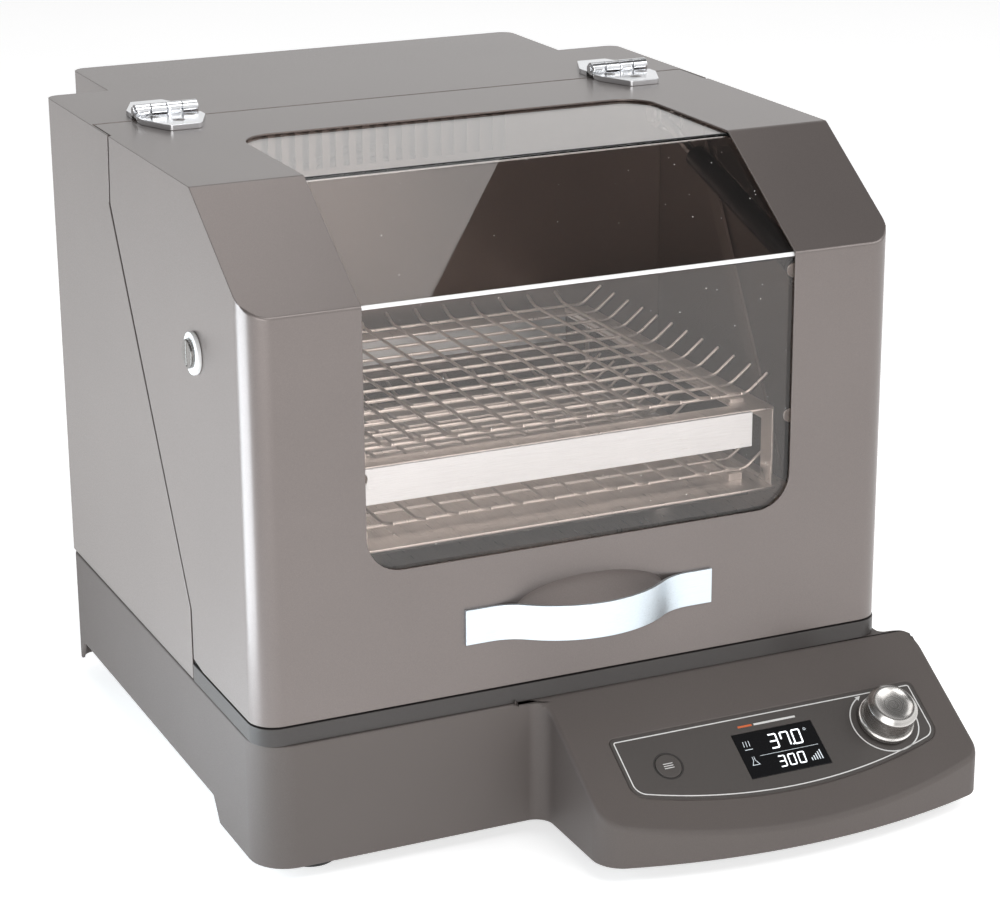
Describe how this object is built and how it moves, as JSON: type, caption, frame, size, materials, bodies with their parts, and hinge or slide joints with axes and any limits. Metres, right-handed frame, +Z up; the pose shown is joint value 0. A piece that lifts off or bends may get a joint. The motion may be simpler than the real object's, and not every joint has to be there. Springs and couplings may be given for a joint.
{
  "type": "laboratory incubator",
  "caption": "Benchtop shaking incubator: heated chamber under a hinged hood with a bent clear window, wire-tray rack on an orbiting platform, and a sloping console with display and knob.",
  "frame": {"origin": "centre of the bounding box in plan, on the bench under the rubber feet", "axes": "-Y is the front with the handle and console, +X is the right side as seen from the front, +Z is up"},
  "size_m": [0.487, 0.621, 0.4511],
  "materials": {
    "dark_paint": "fine powder coat, satin",
    "taupe_paint": "fine powder coat, satin metallic",
    "base_plastic": "painted moulding, satin",
    "pan_steel": "dark coated sheet",
    "rubber": "matt",
    "zinc_sheet": "bright sheet",
    "stainless": "brushed",
    "rail_aluminium": "bright brushed",
    "shaft_steel": "ground",
    "motor_black": "black enamel",
    "pulley_aluminium": "machined",
    "cast_weight": "cast",
    "membrane": "printed polyester",
    "display_black": "gloss black with white segments",
    "electronics": "circuit board",
    "black_plastic": "moulded",
    "red_plastic": "moulded",
    "heater_sheath": "heat tinted",
    "acrylic": "lightly tinted clear sheet",
    "white_nylon": "moulded",
    "hinge_metal": "bright plated",
    "knob_aluminium": "turned and anodised"
  },
  "bodies": {
    "base": {"base_shell": "base_plastic", "base_pan": "pan_steel", "rubber_feet": "rubber", "chamber_plinth": "dark_paint", "hood_gasket": "rubber", "cabinet_shell": "taupe_paint", "gap_seal": "rubber", "rear_air_wall": "taupe_paint", "rear_cover": "taupe_paint", "drive_plate": "zinc_sheet", "chamber_floor": "stainless", "bearing_housings": "pulley_aluminium", "drive_motor": "motor_black", "drive_belt": "rubber", "membrane_panel": "membrane", "display_module": "display_black", "encoder_body": "black_plastic", "control_board": "electronics", "power_supply": "zinc_sheet", "power_inlet": "black_plastic", "fan_motor": "motor_black", "heater_ring": "heater_sheath", "temperature_probe": "stainless", "hinge_cabinet_leaves": "hinge_metal", "hinge_pins": "hinge_metal", "hinge_screws_cabinet": "hinge_metal", "strut_brackets": "zinc_sheet"},
    "hood": {"hood_shell": "taupe_paint", "window_pane": "acrylic", "hood_fasteners": "shaft_steel", "finger_cup": "taupe_paint", "handle": "rail_aluminium", "hinge_hood_leaves": "hinge_metal", "hinge_screws_hood": "hinge_metal", "strut_bushes": "white_nylon", "pivot_screws": "hinge_metal"},
    "left_strut_rod": {"strut_rod_left": "shaft_steel"},
    "left_strut_cylinder": {"strut_cylinder_left": "motor_black"},
    "right_strut_rod": {"strut_rod_right": "shaft_steel"},
    "right_strut_cylinder": {"strut_cylinder_right": "motor_black"},
    "crank": {"drive_crank": "shaft_steel", "crank_pulley": "pulley_aluminium", "counterweight": "cast_weight"},
    "left_idler": {"idler_crank_left": "shaft_steel"},
    "right_idler": {"idler_crank_right": "shaft_steel"},
    "rear_idler": {"idler_crank_rear": "shaft_steel"},
    "platform": {"platform_carrier": "zinc_sheet", "platform_bearings": "shaft_steel", "lower_shelf": "stainless", "upper_shelf": "stainless", "rack_sides": "stainless", "rack_rails": "rail_aluminium", "lower_tray": "stainless", "upper_tray": "stainless"},
    "motor_rotor": {"motor_pulley": "pulley_aluminium"},
    "fan": {"fan_impeller": "pulley_aluminium"},
    "encoder": {"encoder_shaft": "shaft_steel"},
    "knob": {"control_knob": "knob_aluminium"},
    "mode_key": {"mode_button": "membrane"},
    "rocker": {"switch_rocker": "red_plastic"}
  },
  "joints": [
    {"name": "hood_tilt", "type": "hinge", "parent": "base", "child": "hood", "pos_m": [-0.009, 0.1045, 0.4464], "axis": [-1, 0, 0], "range_deg": [0, 60]},
    {"name": "left_strut_swing", "type": "hinge", "parent": "base", "child": "left_strut_rod", "pos_m": [-0.2235, 0.1145, 0.402], "axis": [-1, 0, 0], "range_deg": [0, 57]},
    {"name": "left_strut_extend", "type": "slide", "parent": "left_strut_rod", "child": "left_strut_cylinder", "axis": [0, -0.9534, -0.3018], "range_m": [0, 0.0436]},
    {"name": "right_strut_swing", "type": "hinge", "parent": "base", "child": "right_strut_rod", "pos_m": [0.2055, 0.1145, 0.402], "axis": [-1, 0, 0], "range_deg": [0, 57]},
    {"name": "right_strut_extend", "type": "slide", "parent": "right_strut_rod", "child": "right_strut_cylinder", "axis": [0, -0.9534, -0.3018], "range_m": [0, 0.0436]},
    {"name": "orbit_drive", "type": "hinge", "parent": "base", "child": "crank", "pos_m": [-0.0225, -0.0345, 0.1], "axis": [0, 0, 1], "continuous": true},
    {"name": "platform_turn", "type": "hinge", "parent": "crank", "child": "platform", "pos_m": [-0.0125, -0.0345, 0.203], "axis": [0, 0, 1], "continuous": true},
    {"name": "left_idler_turn", "type": "hinge", "parent": "base", "child": "left_idler", "pos_m": [-0.1285, -0.1095, 0.15], "axis": [0, 0, 1], "continuous": true},
    {"name": "right_idler_turn", "type": "hinge", "parent": "base", "child": "right_idler", "pos_m": [0.0915, -0.1095, 0.15], "axis": [0, 0, 1], "continuous": true},
    {"name": "rear_idler_turn", "type": "hinge", "parent": "base", "child": "rear_idler", "pos_m": [-0.0225, 0.0705, 0.15], "axis": [0, 0, 1], "continuous": true},
    {"name": "motor_spin", "type": "hinge", "parent": "base", "child": "motor_rotor", "pos_m": [0.0975, -0.0345, 0.03], "axis": [0, 0, 1], "continuous": true},
    {"name": "fan_spin", "type": "hinge", "parent": "base", "child": "fan", "pos_m": [-0.009, 0.1905, 0.3], "axis": [0, -1, 0], "continuous": true},
    {"name": "knob_press", "type": "slide", "parent": "base", "child": "encoder", "axis": [0, 0.533, -0.8461], "range_m": [0, 0.0008], "stiffness_N_per_m": 2500, "springref_m": -0.0004},
    {"name": "knob_turn", "type": "hinge", "parent": "encoder", "child": "knob", "pos_m": [0.187, -0.26233, 0.06911], "axis": [0, 0.533, -0.8461], "continuous": true},
    {"name": "mode_press", "type": "slide", "parent": "base", "child": "mode_key", "axis": [0, 0.533, -0.8461], "range_m": [0, 0.0008], "stiffness_N_per_m": 1500, "springref_m": -0.0004},
    {"name": "power_rock", "type": "hinge", "parent": "base", "child": "rocker", "pos_m": [-0.141, 0.2045, 0.053], "axis": [1, 0, 0], "range_deg": [0, 15]}
  ],
  "couplings": [
    {"joint": "left_strut_swing", "follows": "hood_tilt", "ratio": 0.9438},
    {"joint": "left_strut_extend", "follows": "hood_tilt", "m_per_rad": 0.041464},
    {"joint": "right_strut_swing", "follows": "hood_tilt", "ratio": 0.9438},
    {"joint": "right_strut_extend", "follows": "hood_tilt", "m_per_rad": 0.041464},
    {"joint": "platform_turn", "follows": "orbit_drive", "ratio": -1},
    {"joint": "left_idler_turn", "follows": "orbit_drive", "ratio": 1},
    {"joint": "right_idler_turn", "follows": "orbit_drive", "ratio": 1},
    {"joint": "rear_idler_turn", "follows": "orbit_drive", "ratio": 1},
    {"joint": "motor_spin", "follows": "orbit_drive", "ratio": 2.6667}
  ]
}
